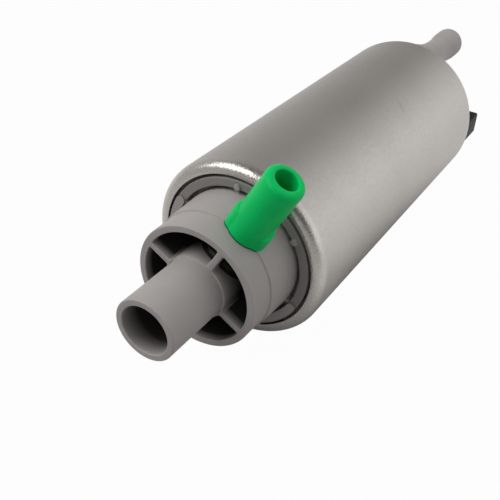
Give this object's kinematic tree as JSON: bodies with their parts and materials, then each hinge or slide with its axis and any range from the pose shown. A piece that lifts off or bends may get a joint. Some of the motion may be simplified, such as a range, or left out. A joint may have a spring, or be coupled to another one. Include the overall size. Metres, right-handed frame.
{
  "type": "electric fuel pump",
  "caption": "In-tank electric fuel pump: rolled steel case, grey moulded end covers, skirted inlet tube, green side nozzle, offset outlet nipple and a black connector.",
  "frame": {"origin": "on the pump's axis, at the middle of the steel case", "axes": "+X along the pump's axis from the inlet tube to the outlet nipple, +Z towards the side on which the nipple is offset, connector towards -Y"},
  "size_m": [0.1585, 0.043, 0.05],
  "materials": {
    "case_steel": "fine blasted satin",
    "grey_plastic": "moulded, matte",
    "green_plastic": "moulded, semi-gloss",
    "black_plastic": "moulded, satin",
    "cream_plastic": "moulded, glass filled",
    "white_plastic": "moulded",
    "impeller_resin": "moulded phenolic",
    "brown_resin": "moulded phenolic",
    "seal_rubber": "moulded",
    "cast_aluminium": "machined",
    "hard_steel": "ground",
    "flux_steel": "rolled and stamped",
    "spring_steel": "drawn",
    "magnet_ferrite": "sintered ferrite",
    "bush_bronze": "sintered bronze",
    "copper_wire": "enamelled copper",
    "terminal_brass": "stamped",
    "carbon": "pressed carbon"
  },
  "bodies": {
    "pump": {"case": "case_steel", "inlet_cover": "grey_plastic", "side_nozzle": "green_plastic", "inlet_seal": "seal_rubber", "inlet_plate": "cast_aluminium", "thrust_pad": "hard_steel", "pump_ring": "cast_aluminium", "outlet_plate": "cast_aluminium", "lower_bush": "bush_bronze", "flux_ring": "flux_steel", "magnet_left": "magnet_ferrite", "magnet_right": "magnet_ferrite", "magnet_springs": "spring_steel", "brush_holder": "cream_plastic", "upper_bush": "bush_bronze", "brush_spring_left": "spring_steel", "brush_spring_right": "spring_steel", "brush_lead_left": "copper_wire", "brush_lead_right": "copper_wire", "brush_caps": "spring_steel", "choke_cores": "magnet_ferrite", "choke_coils": "copper_wire", "terminal_inner": "terminal_brass", "terminal_outer": "terminal_brass", "outlet_cover": "grey_plastic", "outlet_seal": "seal_rubber", "valve_seat": "white_plastic", "check_spring": "spring_steel", "valve_guide": "white_plastic", "relief_spring": "spring_steel", "relief_cap": "white_plastic", "connector_housing": "black_plastic"},
    "rotor": {"shaft": "hard_steel", "impeller": "impeller_resin", "shaft_spacer": "bush_bronze", "lamination_stack": "flux_steel", "slot_insulators": "cream_plastic", "windings": "copper_wire", "commutator_base": "brown_resin", "commutator_segments": "carbon"},
    "brush_left": {"brush_left": "carbon"},
    "brush_right": {"brush_right": "carbon"},
    "check_valve": {"check_poppet": "white_plastic", "check_seal": "seal_rubber"},
    "relief_ball": {"relief_ball": "hard_steel"}
  },
  "joints": [
    {"name": "rotor_spin", "type": "hinge", "parent": "pump", "child": "rotor", "pos_m": [0, 0, 0], "axis": [1, 0, 0], "continuous": true},
    {"name": "brush_left_slide", "type": "slide", "parent": "pump", "child": "brush_left", "axis": [1, 0, 0], "range_m": [0, 0.003], "stiffness_N_per_m": 150, "springref_m": -0.006, "deforming": ["brush_spring_left", "brush_lead_left"]},
    {"name": "brush_right_slide", "type": "slide", "parent": "pump", "child": "brush_right", "axis": [1, 0, 0], "range_m": [0, 0.003], "stiffness_N_per_m": 150, "springref_m": -0.006, "deforming": ["brush_spring_right", "brush_lead_right"]},
    {"name": "check_valve_lift", "type": "slide", "parent": "pump", "child": "check_valve", "axis": [1, 0, 0], "range_m": [0, 0.0025], "stiffness_N_per_m": 60, "springref_m": -0.003, "deforming": ["check_spring"]},
    {"name": "relief_valve_lift", "type": "slide", "parent": "pump", "child": "relief_ball", "axis": [1, 0, 0], "range_m": [0, 0.0012], "stiffness_N_per_m": 1500, "springref_m": -0.0018, "deforming": ["relief_spring"]}
  ]
}
